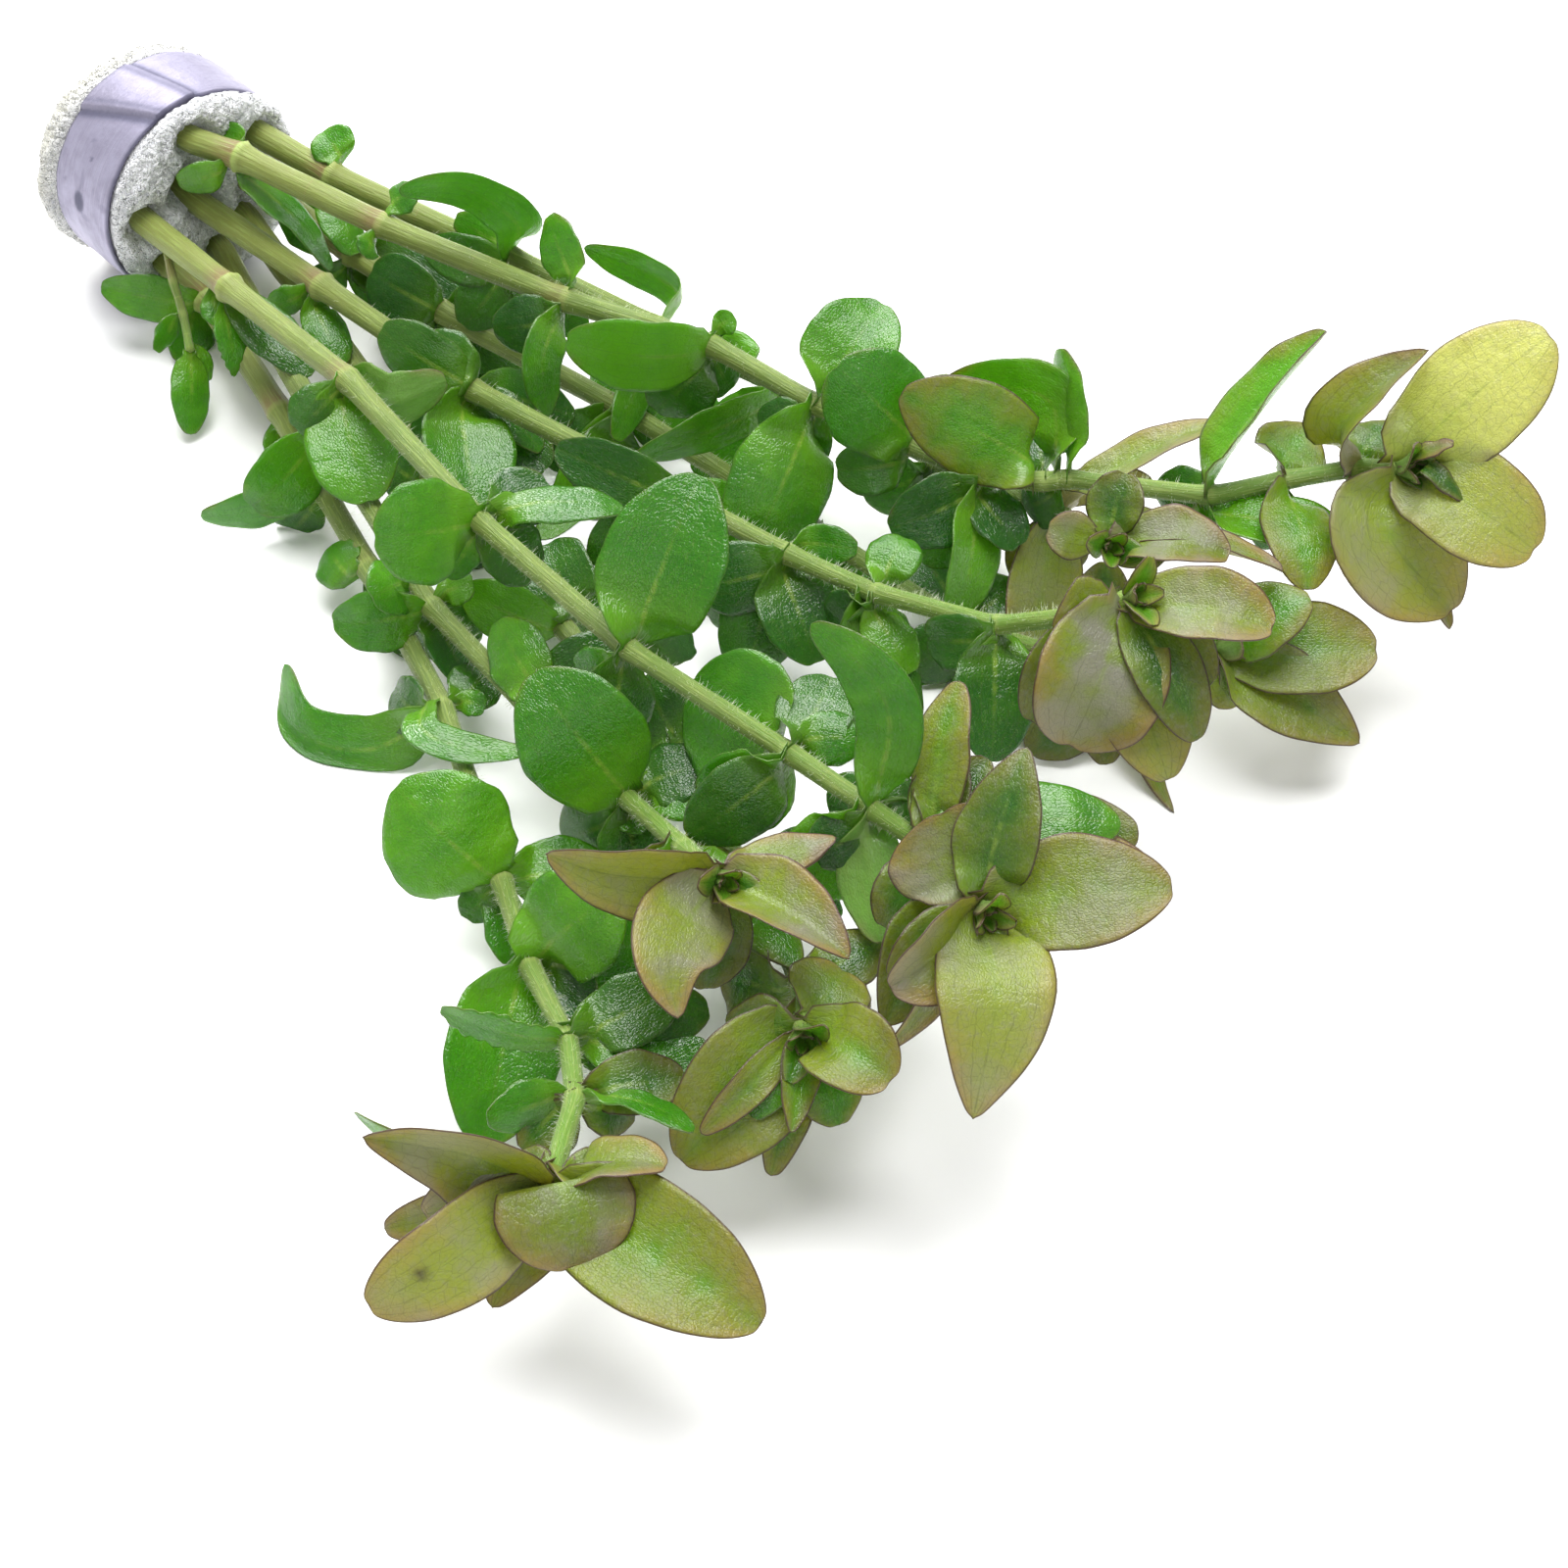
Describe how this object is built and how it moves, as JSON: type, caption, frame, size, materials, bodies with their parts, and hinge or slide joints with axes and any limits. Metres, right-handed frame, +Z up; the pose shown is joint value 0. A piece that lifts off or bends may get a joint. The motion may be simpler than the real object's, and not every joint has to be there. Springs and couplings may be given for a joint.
{
  "type": "aquarium plant bunch",
  "caption": "Bunch of upright-growing aquatic stems with paired oval leaves, green below and bronze at the tips, its cut ends held by foam inside a wound lead strip.",
  "frame": {"origin": "on the surface the bunch lies on, under the middle of the lead band, in the band's flat foot", "axes": "+X along the lead band's axis towards the leafy tips, +Z up from the surface, +Y to the left seen from the band"},
  "size_m": [0.1763, 0.1561, 0.0422],
  "materials": {
    "lead": "satin",
    "foam": "matte",
    "stem": "satin",
    "leaf_green": "satin",
    "leaf_bronze": "satin"
  },
  "bodies": {
    "root": {"lead_band": "lead", "foam_wrap": "foam", "stem_1": "stem", "stem_2": "stem", "stem_3": "stem", "stem_4": "stem", "stem_5": "stem", "stem_6": "stem", "stem_7": "stem", "stem_8": "stem", "stem_1_leaf_1": "leaf_bronze", "stem_1_leaf_2": "leaf_bronze", "stem_1_leaf_3": "leaf_bronze", "stem_1_leaf_4": "leaf_green", "stem_1_leaf_5": "leaf_green", "stem_1_leaf_6": "leaf_bronze", "stem_1_leaf_7": "leaf_green", "stem_1_leaf_8": "leaf_green", "stem_1_leaf_9": "leaf_green", "stem_1_leaf_10": "leaf_green", "stem_1_leaf_11": "leaf_green", "stem_1_leaf_12": "leaf_green", "stem_2_leaf_1": "leaf_bronze", "stem_2_leaf_2": "leaf_bronze", "stem_2_leaf_3": "leaf_green", "stem_3_leaf_1": "leaf_green", "stem_3_leaf_2": "leaf_bronze", "stem_3_leaf_3": "leaf_bronze", "stem_3_leaf_4": "leaf_bronze", "stem_3_leaf_5": "leaf_green", "stem_4_leaf_1": "leaf_bronze", "stem_4_leaf_2": "leaf_bronze", "stem_4_leaf_3": "leaf_bronze", "stem_4_leaf_4": "leaf_green", "stem_4_leaf_5": "leaf_green", "stem_4_leaf_6": "leaf_green", "stem_4_leaf_7": "leaf_green", "stem_4_leaf_8": "leaf_green", "stem_4_leaf_9": "leaf_green", "stem_4_leaf_10": "leaf_bronze", "stem_5_leaf_1": "leaf_bronze", "stem_5_leaf_2": "leaf_bronze", "stem_5_leaf_3": "leaf_bronze", "stem_5_leaf_4": "leaf_green", "stem_5_leaf_5": "leaf_green", "stem_6_leaf_1": "leaf_bronze", "stem_6_leaf_2": "leaf_bronze", "stem_6_leaf_3": "leaf_bronze", "stem_6_leaf_4": "leaf_bronze", "stem_6_leaf_5": "leaf_green", "stem_6_leaf_6": "leaf_green", "stem_6_leaf_7": "leaf_green", "stem_6_leaf_8": "leaf_green", "stem_7_leaf_1": "leaf_bronze", "stem_8_leaf_1": "leaf_bronze", "stem_8_leaf_2": "leaf_bronze", "stem_8_leaf_3": "leaf_bronze", "stem_8_leaf_4": "leaf_green"}
  },
  "joints": []
}
